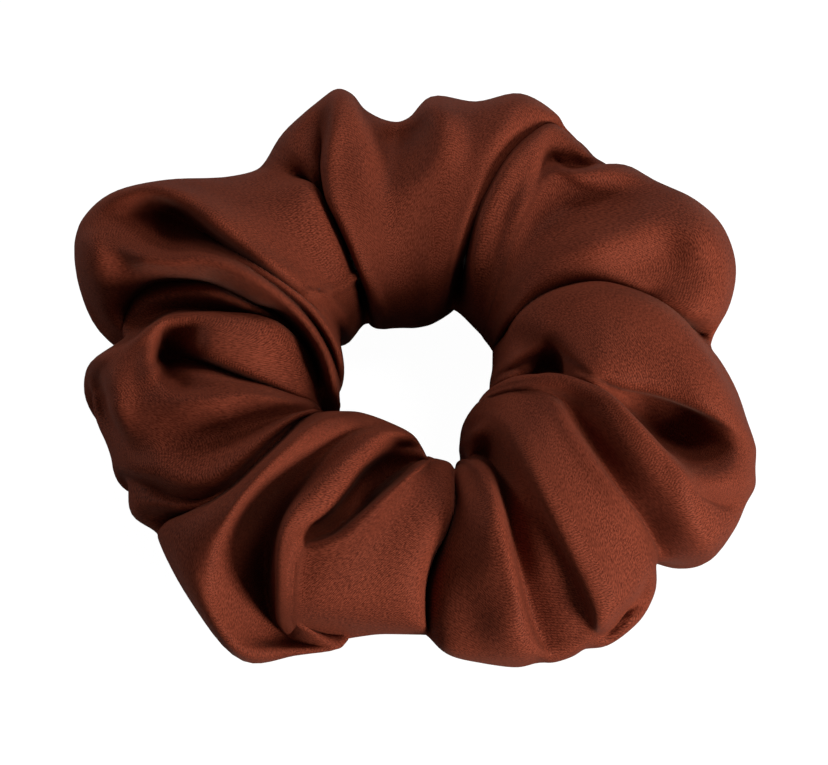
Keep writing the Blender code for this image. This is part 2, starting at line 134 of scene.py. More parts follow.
# A fold line as the photograph shows it: how far it stands off the ring on its way from the rim to the hole,
# in steps of LIFT_SCALE spread evenly over its pixels, and those pixels. A lift below 0 goes into a valley.
Fold = namedtuple("Fold", "name lifts pixels")
FOLDS = (
    Fold("closure_valley", (-2, -6, -11, -13, -13, -13, -10), (
        (264, 162), (287, 171), (306, 181), (319, 199), (330, 221), (341, 244), (350, 266), (358, 292),
        (366, 326),
    )),
    Fold("a_left_flank", (-1, -2, -3, -8, -12, -13, -12, -9), (
        (285, 130), (297, 148), (307, 163), (316, 178), (327, 203), (338, 225), (348, 247), (357, 269),
        (366, 296), (372, 326),
    )),
    Fold("a_flank_inner", (-3, -4, -4, -6, -9, -9, -9, -7), (
        (317, 99), (322, 125), (322, 150), (322, 174), (329, 200), (340, 222), (350, 245), (359, 268),
        (368, 296), (374, 326),
    )),
    Fold("a_left_ridge", (1, 1.5, 1.5, 1, 1, 1, 1, 1, 0.5), (
        (340, 87), (337, 107), (333, 130), (328, 155), (327, 178), (331, 200), (341, 221), (351, 243),
        (360, 266), (371, 294), (378, 327),
    )),
    Fold("a_ridge_face", (1.2, 1.2, 1, 1, 1, 1, 1), (
        (353, 93), (350, 120), (345, 150), (343, 180), (347, 205), (356, 230), (366, 258), (376, 290),
        (386, 328),
    )),
    Fold("a_lit_panel", (1, 1, 1, 1, 1), (
        (366, 110), (364, 130), (366, 155), (366, 185), (371, 225), (380, 275), (394, 328),
    )),
    Fold("a_trough", (-4, -2, 0.5, 1, 1), (
        (396, 119), (395, 138), (392, 160), (388, 195), (391, 240), (398, 285), (404, 328),
    )),
    Fold("a_dark_wall", (-3, -1, 0.8, 1, 1), (
        (409, 115), (412, 132), (412, 155), (409, 190), (408, 235), (411, 280), (415, 328),
    )),
    Fold("a_bump", (2, 2, 1, 1, 1), (
        (429, 98), (440, 118), (443, 145), (439, 185), (433, 230), (429, 275), (427, 325),
    )),
    Fold("a_broad_face", (1, 1, 1), (
        (475, 101), (470, 140), (460, 190), (448, 250), (436, 320),
    )),
    Fold("a_right_rim", (1, 1, 1, 0.5), (
        (521, 91), (507, 125), (488, 165), (469, 212), (453, 260), (442, 315),
    )),
    Fold("a_right_end", (-1, -1, -1, -1, -1, -1), (
        (558, 112), (540, 124), (518, 144), (500, 168), (481, 204), (466, 240), (451, 276), (444, 314),
    )),
    Fold("a_right_wall", (-5, -6, -7, -8, -9, -9), (
        (568, 126), (546, 128), (522, 146), (503, 171), (484, 207), (469, 243), (455, 279), (446, 313),
    )),
    Fold("ab_valley", (-6, -8, -9, -11, -13, -13, -11), (
        (590, 151), (570, 138), (549, 129), (524, 146), (505, 173), (486, 209), (472, 243), (461, 280),
        (453, 313),
    )),
    Fold("b_left_ridge", (1, 2, 2, 2, 2, 2, 2, 2, 1), (
        (596, 161), (577, 143), (553, 127), (532, 139), (511, 160), (495, 187), (482, 216), (476, 242),
        (473, 266), (474, 292), (474, 328),
    )),
    Fold("b_knob", (1, 1, 1, 1.5, 1.5, 1.5, 1.5, 1.5), (
        (599, 162), (584, 155), (567, 146), (552, 143), (535, 160), (518, 188), (504, 218), (496, 248),
        (490, 280), (480, 333),
    )),
    Fold("b_dimple", (-2, -3, -3, 0, 1.5, 1.5, 1.5, 1.5), (
        (603, 164), (582, 167), (566, 167), (553, 160), (540, 174), (524, 203), (511, 233), (502, 263),
        (494, 295), (482, 336),
    )),
    Fold("b_lip", (1, 0.8, 0, 0, 0.6, 1, 1.2, 1.2), (
        (624, 164), (598, 171), (575, 175), (556, 174), (541, 191), (526, 217), (514, 244), (505, 271),
        (496, 300), (484, 339),
    )),
    Fold("b_trough", (-1.5, -3, -3, -1.5, 0, 0.8, 1), (
        (660, 180), (630, 190), (600, 198), (572, 207), (548, 224), (530, 247), (516, 272), (503, 303),
        (486, 342),
    )),
    Fold("b_face", (0.5, 1, 1.5, 1.2, 1.2, 1.2, 1.2), (
        (695, 196), (664, 214), (630, 233), (597, 245), (565, 256), (540, 270), (521, 290), (505, 316),
        (488, 345),
    )),
    Fold("b_outer", (1, -1.2, -1.5, -0.3, 0.8, 1.2, 1), (
        (722, 221), (698, 238), (668, 253), (634, 264), (598, 269), (562, 276), (532, 292), (510, 318),
        (489, 347),
    )),
    Fold("b_lower_rim", (0, -2, -3, -2, -1, 0, 0), (
        (737, 262), (712, 270), (680, 282), (645, 286), (607, 280), (567, 283), (534, 298), (511, 321),
        (490, 349),
    )),
    Fold("b_under_edge", (-1, -2, -3, -5, -6, -6, -6, -6), (
        (730, 305), (712, 311), (690, 312), (665, 302), (635, 290), (600, 284), (565, 288), (536, 300),
        (512, 324), (490, 351),
    )),
    Fold("bc_valley", (-6, -8, -9, -9, -9, -9, -9, -8), (
        (717, 338), (704, 337), (688, 325), (666, 308), (634, 293), (600, 286), (564, 290), (536, 302),
        (513, 327), (490, 353),
    )),
    Fold("c_crest", (1, 2, 2, 2, 2, 2, 2, 2, 1), (
        (711, 355), (699, 340), (684, 323), (662, 307), (632, 294), (600, 287), (566, 292), (540, 302),
        (520, 318), (506, 340), (490, 358),
    )),
    Fold("c_face", (2, 2, 2, 2, 2, 2, 1, 1), (
        (735, 397), (712, 370), (685, 347), (650, 328), (612, 318), (575, 320), (548, 330), (525, 345),
        (507, 360), (489, 368),
    )),
    Fold("c_lower", (0, 0, -1, -1, 0, 1, 1, 0, 0.3, 0.5), (
        (758, 446), (735, 426), (705, 407), (676, 395), (648, 386), (620, 381), (596, 371), (573, 354),
        (550, 343), (528, 353), (508, 366), (488, 378),
    )),
    Fold("c_lower_wall", (-1, -4, -8, -9, -9, -6, 0, -0.5, -5, -3, -0.5), (
        (760, 456), (738, 438), (710, 420), (684, 408), (660, 399), (640, 393), (620, 388), (598, 379),
        (575, 365), (551, 355), (532, 360), (510, 371), (487, 382),
    )),
    Fold("c_pocket", (-1, -6, -11, -12, -12, -8, -1, -1, -9, -6, -0.5), (
        (760, 468), (738, 454), (711, 446), (686, 439), (662, 427), (643, 411), (622, 394), (599, 385),
        (577, 376), (553, 368), (536, 368), (512, 377), (487, 387),
    )),
    Fold("c_low_bulge", (0, 0, -1, -4, -8, -10, -10, -6, -2, -3, -8, -6, 0), (
        (760, 483), (738, 482), (713, 482), (692, 472), (674, 458), (656, 443), (638, 424), (620, 407),
        (602, 394), (580, 383), (556, 376), (536, 376), (514, 380), (495, 387), (485, 391),
    )),
    Fold("d_third_edge", (-2, 0, 2, 2, 2, 2, 2, 1.5, 1, 1, 1, 1, 0.5), (
        (753, 500), (728, 503), (703, 497), (684, 477), (668, 459), (652, 442), (636, 424), (620, 406),
        (604, 393), (586, 384), (562, 377), (538, 377), (515, 380), (496, 387), (482, 395),
    )),
    Fold("d_third_crest", (0, 1, 2, 2, 2, 2, 2, 1.5, 1, 1, 1, 0.5), (
        (740, 529), (718, 515), (700, 502), (684, 486), (666, 468), (648, 449), (630, 427), (612, 405),
        (592, 392), (572, 385), (550, 382), (525, 383), (500, 390), (480, 399),
    )),
    Fold("d_third_face", (1, 1, 1, 1, 1, 1, 0.5, 0.5, 0.8, 1, 0.5), (
        (712, 561), (698, 535), (680, 510), (660, 485), (640, 460), (622, 437), (605, 416), (588, 401),
        (570, 392), (550, 387), (525, 387), (500, 392), (478, 402),
    )),
    Fold("d_second_valley", (-3, -4, -4, -4, -4, -3, -1.5, -0.3, 0.8, 1, 0.5), (
        (668, 563), (656, 545), (640, 517), (622, 495), (606, 470), (592, 447), (578, 424), (568, 407),
        (558, 398), (540, 391), (520, 390), (498, 394), (476, 404),
    )),
    Fold("d_main_edge", (0.5, 1, 1, 1, 1, 1, 1, 1, 1, 1, 0.5), (
        (658, 564), (648, 537), (632, 512), (614, 490), (598, 469), (583, 449), (568, 428), (560, 412),
        (552, 402), (536, 394), (517, 392), (496, 396), (474, 407),
    )),
    Fold("d_main_ridge", (1.2, 1.2, 1.2, 1.2, 1.2, 1.2, 1, 1, 0.5), (
        (658, 587), (640, 552), (617, 520), (593, 488), (570, 455), (552, 425), (540, 406), (527, 397),
        (512, 395), (494, 399), (472, 411),
    )),
    Fold("d_face", (-2.5, -4, 1, 1.6, 1.8, 1.8, 1.8, 1.5, 1, 1, 0.5), (
        (653, 611), (647, 605), (641, 596), (634, 588), (622, 567), (600, 535), (577, 500), (553, 463),
        (533, 430), (518, 410), (503, 402), (489, 404), (471, 416),
    )),
    Fold("d_tuck", (0.5, -4, 1.5, 2, 2, 2, 2, 1.8, 1.2, 1, 0.5), (
        (640, 626), (634, 620), (627, 612), (618, 603), (607, 583), (590, 550), (567, 510), (545, 472),
        (526, 438), (512, 417), (498, 409), (486, 411), (470, 422),
    )),
    Fold("d_tuck_low", (0, -5, 1, 1.5, 1.8, 1.8, 1.8, 1.6, 1.2, 1, 0.5), (
        (611, 648), (609, 641), (606, 634), (601, 624), (594, 600), (577, 562), (557, 522), (537, 483),
        (520, 448), (507, 426), (495, 419), (484, 419), (470, 430),
    )),
    Fold("d_lower", (-1, -1.5, -1, -0.5, 0, 0.3, 0.5, 0.5), (
        (587, 651), (590, 624), (579, 592), (562, 556), (545, 520), (528, 485), (513, 455), (500, 435),
        (486, 429), (469, 437),
    )),
    Fold("d_first_valley", (-2, -2.5, -2, -2, -2, -3, -3, -2), (
        (575, 659), (568, 635), (556, 600), (543, 565), (530, 530), (518, 495), (507, 465), (496, 447),
        (483, 441), (469, 446),
    )),
    Fold("e_valley", (-3, -4, -4, -4, -4, -5, -6, -5), (
        (556, 665), (541, 641), (530, 612), (522, 580), (514, 545), (507, 510), (500, 480), (492, 461),
        (481, 453), (468, 454),
    )),
    Fold("e_right_edge", (1, 2, 2, 2, 2, 2, 1), (
        (540, 663), (528, 635), (519, 605), (512, 575), (504, 540), (496, 510), (488, 483), (479, 468),
        (467, 461),
    )),
    Fold("e_ridge", (2, 2, 2, 2, 1, 0), (
        (520, 666), (512, 630), (503, 595), (494, 560), (486, 525), (479, 495), (472, 475), (465, 463),
    )),
    Fold("e_face", (0, 0, -0.5, -0.5, -0.5), (
        (482, 664), (476, 620), (470, 570), (467, 530), (465, 500), (463, 480), (461, 465),
    )),
    Fold("e_left", (-2, -2.5, -2.5, -2.5, -2.5, -1.5), (
        (448, 656), (440, 625), (440, 590), (447, 555), (455, 525), (459, 500), (458, 482), (458, 467),
    )),
    Fold("ef_valley", (-7, -9, -9, -9, -9, -6), (
        (429, 639), (424, 615), (424, 590), (430, 565), (443, 540), (452, 515), (454, 490), (454, 467),
    )),
    Fold("f_right_edge", (-0.5, -0.5, -0.5, -0.5, -0.5, -0.5), (
        (422, 635), (418, 605), (419, 578), (426, 553), (438, 530), (447, 510), (449, 488), (449, 461),
    )),
    Fold("f_face", (1, 1, 1, 1), (
        (368, 631), (366, 595), (374, 555), (396, 512), (420, 480), (441, 459),
    )),
    Fold("f_left_face", (2.3, 2.3, 2.3, 2.3, 2.3, 2.2, 2), (
        (322, 628), (320, 600), (324, 575), (335, 557), (354, 541), (374, 521), (394, 497), (415, 473),
        (437, 460),
    )),
    Fold("f_edge", (2.2, 2.2, 2.2, 2.4, 2.4, 2.4, 2.4, 2.2, 2), (
        (302, 628), (302, 597), (304, 569), (309, 551), (323, 545), (342, 536), (362, 518), (382, 500),
        (403, 482), (420, 468), (434, 460),
    )),
    Fold("fg_pocket", (2.2, 2.2, 1.8, -3, -10, -14, -15, -15, -12), (
        (292, 629), (293, 594), (295, 564), (303, 546), (316, 539), (338, 528), (358, 509), (378, 488),
        (399, 471), (417, 461), (431, 458),
    )),
    Fold("g_second_wall", (2.2, 2.2, 2, 0, -6, -11, -13, -13, -11), (
        (286, 629), (286, 592), (288, 560), (295, 541), (307, 530), (329, 515), (348, 497), (365, 477),
        (386, 460), (408, 452), (428, 454),
    )),
    Fold("g_second_edge", (2.2, 2.2, 2, 1.5, 1, 1, 1, 1, 0.5), (
        (281, 628), (281, 590), (283, 557), (289, 537), (301, 524), (325, 507), (343, 487), (358, 468),
        (378, 452), (401, 444), (424, 448),
    )),
    Fold("g_second_ridge", (1.6, 1.6, 1.6, 1.6, 1.5, 1.5, 1.5, 1.5), (
        (277, 625), (277, 590), (279, 555), (283, 531), (295, 509), (318, 486), (342, 463), (366, 444),
        (390, 433), (414, 436),
    )),
    Fold("g_valley", (-4, -8, -11, -10, -8, -4.5, -2, -0.5), (
        (345, 648), (292, 640), (270, 612), (266, 575), (267, 542), (275, 515), (294, 485), (318, 458),
        (345, 436), (390, 421),
    )),
    Fold("g_slope", (-1.5, -3.5, -5.5, -5.5, -3.5, -1, 0.5), (
        (296, 657), (262, 640), (245, 600), (243, 560), (250, 528), (269, 496), (295, 465), (323, 437),
        (362, 411),
    )),
    Fold("g_first_ridge", (1, 1, 1, 1.5, 1.5, 1.5, 1.5), (
        (244, 663), (224, 632), (210, 590), (214, 550), (232, 512), (256, 481), (284, 453), (314, 427),
        (350, 410),
    )),
    Fold("g_left_face", (1, 1, 1, 1, 1, 1), (
        (190, 600), (184, 572), (192, 546), (214, 519), (242, 492), (269, 463), (297, 435), (330, 410),
    )),
    Fold("g_left_edge", (0, 0, 0, 0, 0, 0, 0), (
        (157, 540), (168, 527), (190, 518), (214, 505), (236, 489), (258, 468), (280, 447), (302, 425),
        (325, 411),
    )),
    Fold("gh_valley", (-4, -7, -7, -7, -7, -7, -5), (
        (154, 534), (165, 523), (188, 513), (211, 502), (233, 485), (255, 464), (277, 442), (299, 421),
        (320, 411),
    )),
    Fold("h_under_fold", (-1, -1, -1.5, -3, -4, -4, -4, -3), (
        (128, 512), (141, 506), (160, 505), (184, 508), (208, 501), (231, 484), (253, 463), (275, 441),
        (297, 420), (319, 410),
    )),
    Fold("h_under_valley", (-1, -2, -2, -3, -3, -3, -3, -2), (
        (124, 477), (140, 482), (158, 488), (180, 498), (205, 498), (229, 482), (251, 461), (273, 439),
        (296, 419), (319, 410),
    )),
    Fold("h_lower_bulge", (1, 1, 1, 1, 1, 1, 1, 1), (
        (113, 464), (135, 470), (159, 475), (185, 482), (210, 481), (234, 465), (255, 446), (276, 429),
        (297, 416), (319, 409),
    )),
    Fold("h_lower_face", (0.5, 0.5, -1.5, -2.5, -2, -1, 0), (
        (109, 449), (128, 446), (156, 446), (187, 443), (216, 437), (243, 430), (268, 421), (293, 414),
        (318, 408),
    )),
    Fold("h_lower_ridge", (-4, -5, 2.5, 1.5, 1.5, 2, 2, 2, 2, 1), (
        (92, 421), (102, 417), (110, 414), (117, 411), (138, 407), (162, 403), (188, 402), (215, 402),
        (241, 398), (268, 399), (293, 404), (318, 407),
    )),
    Fold("h_side", (-4, -5, 2.5, 1.5, 1, -2, 0.5, 1, 1, 1), (
        (88, 401), (97, 399), (106, 397), (114, 395), (138, 391), (160, 386), (178, 388), (208, 390),
        (238, 390), (266, 395), (292, 401), (318, 406),
    )),
    Fold("h_tongue", (-4, -4, 2.5, 1.5, 1.5, -6, -3, 0, 0, 0), (
        (88, 391), (97, 389), (104, 388), (113, 386), (136, 379), (154, 372), (166, 372), (182, 374),
        (208, 377), (236, 383), (266, 389), (318, 405),
    )),
    Fold("h_groove", (-2, -3, 2, 1.5, 1.5, -9, -9, -7, -6, -4), (
        (86, 379), (93, 380), (99, 379), (112, 375), (136, 367), (150, 360), (162, 356), (177, 357),
        (204, 363), (233, 374), (263, 384), (318, 404),
    )),
    Fold("h_pocket_top", (1, 1.5, 1.5, 1.5, -5, -4, 0.8, 1, 0.5), (
        (87, 368), (100, 364), (118, 359), (136, 351), (152, 343), (164, 340), (180, 341), (206, 350),
        (236, 363), (266, 377), (318, 403),
    )),
    Fold("h_top_ridge", (1, 1, 2, 2, 2, 2, 2, 2, 1, 0), (
        (87, 363), (104, 357), (126, 348), (146, 333), (164, 321), (186, 317), (214, 318), (245, 319),
        (272, 324), (296, 342), (312, 368), (319, 396),
    )),
    Fold("h_back_valley", (-3, -5, -6, -7, -7, -6, -4, -3, -3), (
        (122, 340), (132, 332), (147, 323), (164, 312), (187, 308), (214, 311), (242, 315), (269, 320),
        (294, 339), (311, 367), (320, 395),
    )),
    Fold("hi_fold", (-3, -3, -3, -3, -2, -2, -3, -4, -4, -4), (
        (121, 335), (129, 318), (141, 305), (161, 297), (186, 293), (211, 293), (232, 300), (253, 309),
        (276, 319), (298, 339), (314, 367), (321, 394),
    )),
    Fold("hi_valley", (-5, -6, -7, -7, -7, -7, -7, -7, -6, -5), (
        (122, 333), (127, 312), (137, 295), (153, 284), (181, 281), (208, 283), (231, 292), (255, 304),
        (279, 315), (300, 335), (316, 363), (323, 393),
    )),
    Fold("i_lower_face", (0, 0, 0, 0, 0, 0, 0, 0, 0, 0), (
        (97, 307), (113, 292), (131, 278), (156, 272), (182, 271), (208, 273), (233, 283), (259, 297),
        (283, 309), (304, 330), (319, 358), (327, 391),
    )),
    Fold("i_lower_ridge", (1, 1, 2, 2, 2, 2, 2, 2, 2, 2, 2), (
        (76, 272), (98, 264), (120, 254), (142, 258), (168, 262), (196, 260), (222, 264), (248, 276),
        (274, 293), (299, 315), (318, 341), (331, 371), (336, 399),
    )),
    Fold("i_crease", (1, 0, -1, -2, -2, -1, 0, -0.5, -1.5, -1.5, -1), (
        (71, 250), (95, 242), (118, 236), (143, 244), (170, 251), (198, 249), (226, 257), (256, 273),
        (282, 291), (306, 314), (324, 339), (335, 363), (341, 388),
    )),
    Fold("i_strip", (0, -1, -3, -5, -5, -3, 0, 1, 1, 1, 1), (
        (71, 234), (94, 227), (117, 222), (142, 228), (168, 238), (196, 241), (224, 251), (256, 268),
        (284, 286), (310, 308), (328, 332), (339, 356), (344, 380),
    )),
    Fold("i_pocket", (0, -1, -5, -8, -8, -6, -4, -2, -1, -1, -1), (
        (77, 219), (98, 214), (122, 211), (148, 208), (172, 213), (195, 227), (220, 243), (248, 261),
        (276, 279), (303, 298), (325, 321), (338, 345), (345, 372),
    )),
    Fold("i_upper_ridge", (1, 2, 3, 3, 3, 2, 2, 1, 1, 0), (
        (102, 196), (122, 193), (145, 189), (168, 192), (190, 203), (213, 219), (240, 240), (268, 262),
        (294, 282), (318, 302), (335, 322), (343, 342),
    )),
    Fold("i_back_top", (0, 0, 0, 0, 0, 0), (
        (160, 180), (190, 184), (221, 199), (256, 223), (289, 260), (322, 290), (343, 315), (351, 342),
    )),
    Fold("i_right_panel", (0, 0, 0, 0, 0), (
        (230, 176), (251, 191), (279, 217), (307, 252), (333, 287), (349, 311), (357, 335),
    )),
    Fold("i_right_end", (-1, 0, 0, 0, -0.5), (
        (257, 169), (285, 181), (309, 188), (328, 226), (343, 262), (353, 290), (361, 329),
    )),
)

# How far the cloth draws in underneath a fold that stands out over it, in metres, and the shares of the
# hidden way, from the hole and from the rim, on which that sets in
UNDERCUT_FROM_HOLE = 0.5
UNDERCUT_FROM_RIM = 0.2
UNDERCUTS = {
    "i_pocket": 0.006, "i_strip": 0.008, "i_crease": 0.009, "i_lower_ridge": 0.009, "i_lower_face": 0.008,
    "i_upper_ridge": 0.003, "hi_valley": 0.005, "hi_fold": 0.004, "h_back_valley": 0.002,
    "d_third_edge": 0.001, "d_third_crest": 0.0025, "d_third_face": 0.003, "d_second_valley": 0.003,
}

# Satin: colours, twill in metres, and how fine its patches, slubs and streaks are
SATIN_DARK = (0.060, 0.0105, 0.0052, 1)
SATIN_LIGHT = (0.200, 0.0410, 0.0200, 1)
SHEEN_TINT = (0.80, 0.42, 0.30, 1)
SPECULAR_TINT = (0.95, 0.50, 0.36, 1)
TWILL_PITCH = 0.00045
TWILL_WANDER = 0.0004
TWILL_RELIEF = 0.00002
PATCH_SCALE = 70
SLUB_SCALE = 2400
STREAK_SCALE = (3800, 4800, 1)
FINE_DETAIL = 2
BROAD_DETAIL = 3

# What each pattern adds to the satin's tone, and the tone that is taken off their sum
TWILL_TONE = 0.35
SLUB_TONE = 0.8
STREAK_TONE = 3.0
PATCH_TONE = 0.6
TONE_OFFSET = 1.7

# Satin's gloss, and how much rougher its patches are
SATIN_ROUGHNESS = 0.58
PATCH_ROUGHNESS = 0.12
SATIN_SPECULAR = 0.08
SATIN_SHEEN = 0.05
SHEEN_ROUGHNESS = 0.35

# Thread and elastic
THREAD_DARK = (0.060, 0.0110, 0.0055, 1)
THREAD_LIGHT = (0.140, 0.0300, 0.0150, 1)
BRAID_DARK = (0.42, 0.40, 0.36, 1)
BRAID_LIGHT = (0.78, 0.76, 0.72, 1)
YARN_SCALE = 3000
YARN_RELIEF = 0.00004
THREAD_ROUGHNESS = 0.6
BRAID_ROUGHNESS = 0.8

# Floor: the grey that it throws back on the part, and for the camera the grey that takes a shadow and the
# white that is added to it
FLOOR_SIZE = 3.0
FLOOR_BOUNCE = (0.3, 0.3, 0.3, 1)
FLOOR_SHADOW = (0.15, 0.15, 0.15, 1)
FLOOR_WHITE = 0.98

# Lights: the light all round, the lamps' size, and each lamp's place and power in watts
WORLD_COLOUR = (1, 1, 1, 1)
WORLD_STRENGTH = 0.13
LAMP_SIZE = 0.25
LAMPS = {
    "key": ((0.58, -0.53, 0.20), 9.2),
    "rear": ((0.20, 0.60, 0.50), 1.7),
    "back": ((-0.66, 0.38, 0.26), 1.4),
    "top": ((0.42, 0.00, 0.68), 1.6),
}


def camera_axes():
    """Camera's place and its right, up and forward directions."""
    forward = Vector((0, math.cos(CAMERA_ELEVATION), -math.sin(CAMERA_ELEVATION)))
    right = Vector((1, 0, 0))
    up = right.cross(forward)
    return CAMERA_TARGET - forward * CAMERA_DISTANCE, right, up, forward


def pixel_ray(pixel):
    """Start and direction of the sight line through a pixel."""
    place, right, up, forward = camera_axes()
    across = (pixel[0] - IMAGE_WIDTH / 2) / FOCAL_PIXELS
    above = (IMAGE_HEIGHT / 2 - pixel[1]) / FOCAL_PIXELS
    direction = forward + right * across + up * above
    return np.array(place), np.array(direction)


def sight_levels(pixel, width, height):
    """Points along the sight line, and how far each is from the ring's middle line.

    Those distances are shares of the ring's section, so 1 is on its face.
    """
    place, direction = pixel_ray(pixel)
    steps = np.linspace(CAMERA_DISTANCE - SIGHT_REACH, CAMERA_DISTANCE + SIGHT_REACH, SIGHT_STEPS)
    points = place + steps[:, None] * direction
    radius = np.hypot(points[:, 0], points[:, 1])
    across = (radius - RING_RADIUS) / width
    above = (points[:, 2] - RING_MIDDLE) / height
    return points, np.hypot(across, above)


def on_outline(pixel):
    """Where the sight line passes nearest to the ring's middle line: a point of the outline."""
    points, level = sight_levels(pixel, RING_HALF_WIDTH, RING_HALF_HEIGHT)
    return points[np.argmin(level)]


def on_ring(pixel, size, lift):
    """Where the sight line first meets the ring of this relative size, or passes nearest to it.

    A lift makes the ring larger. A lift below 0 goes on along the sight line, into a fold or pocket.
    """
    rise = max(lift, 0)
    points, level = sight_levels(pixel, RING_HALF_WIDTH * size + rise, RING_HALF_HEIGHT * size + rise)
    inside = np.nonzero(level <= 1)[0]
    if not len(inside):
        return points[np.argmin(level)]
    step = np.linalg.norm(points[1] - points[0])
    deeper = min(-min(lift, 0) * SIGHT_DEPTH / step, len(inside) * POCKET_SHARE)
    return points[inside[0] + int(deeper)]


def section_place(point):
    """Ring angle, section angle and relative size of a point."""
    radius = math.hypot(point[0], point[1])
    across = (radius - RING_RADIUS) / RING_HALF_WIDTH
    above = (point[2] - RING_MIDDLE) / RING_HALF_HEIGHT
    return math.atan2(point[1], point[0]), math.atan2(above, across), math.hypot(across, above)


def ring_point(turn, psi, size):
    """Point at a ring angle, section angle and relative size, kept off the floor."""
    radius = RING_RADIUS + RING_HALF_WIDTH * size * math.cos(psi)
    height = RING_MIDDLE + RING_HALF_HEIGHT * size * math.sin(psi)
    height = max(height, FLOOR_CLEARANCE)
    return np.array((radius * math.cos(turn), radius * math.sin(turn), height))


def smooth_path(points, parameters):
    """Centripetal Catmull-Rom curve through points, read at parameters from 0 to len(points) - 1."""
    points = np.asarray(points, float)
    before = 2 * points[0] - points[1]
    after = 2 * points[-1] - points[-2]
    padded = np.vstack([before, points, after])
    gaps = np.linalg.norm(np.diff(padded, axis=0), axis=1) ** 0.5
    knots = np.concatenate([[0], np.cumsum(np.maximum(gaps, SMALLEST_GAP))])
    found = []
    for value in parameters:
        span = min(int(value), len(points) - 2)
        share = value - span
        p = padded[span:span + 4]
        k = knots[span:span + 4]
        t = k[1] + (k[2] - k[1]) * share
        a = [p[n] + (p[n + 1] - p[n]) * (t - k[n]) / (k[n + 1] - k[n]) for n in range(3)]
        b = [a[n] + (a[n + 1] - a[n]) * (t - k[n]) / (k[n + 2] - k[n]) for n in range(2)]
        found.append(b[0] + (b[1] - b[0]) * (t - k[1]) / (k[2] - k[1]))
    return np.array(found)


def even_parameters(points, count):
    """Parameters that space count points evenly along a polyline."""
    lengths = np.linalg.norm(np.diff(points, axis=0), axis=1)
    travelled = np.concatenate([[0], np.cumsum(lengths)])
    wanted = np.linspace(0, travelled[-1], count)
    return np.interp(wanted, travelled, np.arange(len(points)))


def ease(share):
    """Smooth step from 0 to 1."""
    share = min(max(share, 0), 1)
    return share * share * (3 - 2 * share)


def lift_at(fold, share):
    """Lift of a fold, at a share of its way from the rim to the hole."""
    lifts = (0, *fold.lifts, 0)
    return np.interp(share, np.linspace(0, 1, len(lifts)), lifts)


def neighbour_mean(values):
    """Mean of each value and those beside it, round the ring."""
    reach = range(-BODY_REACH, BODY_REACH + 1)
    return sum(np.roll(values, step) for step in reach) / len(reach)


def fold_loop(fold, body_size):
    """Closed loop of cloth along a fold: what the photograph shows of it, then back under the ring."""
    rim = on_outline(fold.pixels[0])
    hole = on_outline(fold.pixels[-1])
    rim_turn, rim_psi, rim_size = section_place(rim)
    hole_turn, hole_psi, hole_size = section_place(hole)
    pixels = np.array(fold.pixels, float)
    last = len(pixels) - 1
    way = np.concatenate([[0], np.cumsum(np.linalg.norm(np.diff(pixels, axis=0), axis=1))])
    places = (0, END_ROUNDING, *range(1, last), last - END_ROUNDING, last)
    seen = [rim]
    for place in places[1:-1]:
        pixel = [np.interp(place, range(last + 1), axis) for axis in pixels.T]
        share = np.interp(place, range(last + 1), way / way[-1])
        size = rim_size + (hole_size - rim_size) * share
        size += (body_size - size) * ease(share / RIM_SHARE) * ease((1 - share) / RIM_SHARE)
        seen.append(on_ring(pixel, size, lift_at(fold, place / last) * LIFT_SCALE))
    seen.append(hole)
    if hole_psi < 0:
        hole_psi += math.tau
    turn_step = math.remainder(rim_turn - hole_turn, math.tau)
    hidden = []
    pulled_in = UNDERCUTS.get(fold.name, 0) / RING_HALF_WIDTH
    for n in range(1, HIDDEN_POINTS + 1):
        share = n / (HIDDEN_POINTS + 1)
        psi = hole_psi + (rim_psi + math.tau - hole_psi) * share
        size = min(hole_size, 1) + (min(rim_size, 1) - min(hole_size, 1)) * share
        size += max(rim_size - 1, 0) * ease(1 - (1 - share) / END_SHARE)
        size += max(hole_size - 1, 0) * ease(1 - share / END_SHARE)
        size += lift_at(fold, 1 - share) * HIDDEN_LIFT_SCALE / RING_HALF_WIDTH
        size -= pulled_in * ease(share / UNDERCUT_FROM_HOLE) * ease((1 - share) / UNDERCUT_FROM_RIM)
        hidden.append(ring_point(hole_turn + turn_step * share, psi, size))
    loop = np.array(seen + hidden + [seen[0]])
    count = len(seen)
    place_ways = np.interp(places, range(last + 1), way)
    row_ways = np.linspace(0, way[-1], SEEN_ROWS + 1)[:-1]
    seen_at = np.interp(row_ways, place_ways, range(count))
    hidden_at = count - 1 + even_parameters(loop[count - 1:], HIDDEN_ROWS + 1)[:-1]
    return smooth_path(loop, np.concatenate([seen_at, hidden_at]))


def sleeve_grid():
    """Points of the cloth: one loop for each column round the ring."""
    ends = [(fold.pixels[0], fold.pixels[-1]) for fold in FOLDS]
    sizes = [np.mean([section_place(on_outline(end))[2] for end in pair]) for pair in ends]
    body_sizes = neighbour_mean(np.array(sizes))
    loops = np.array([fold_loop(fold, size) for fold, size in zip(FOLDS, body_sizes)])
    count = len(loops)
    padded = np.concatenate([loops[-FOLDS_BEFORE:], loops, loops[:FOLDS_AFTER]])
    wanted = FOLDS_BEFORE + np.arange(count * COLUMNS_PER_FOLD) / COLUMNS_PER_FOLD
    rows = loops.shape[1]
    return np.stack([smooth_path(padded[:, row], wanted) for row in range(rows)], axis=1)


def soften(grid, rounds, share):
    """Evens out a closed grid of points, each towards the mean of its neighbours."""
    for _ in range(rounds):
        mean = sum(np.roll(grid, step, axis) for axis in (0, 1) for step in (1, -1)) / 4
        grid = grid + share * (mean - grid)
    return grid


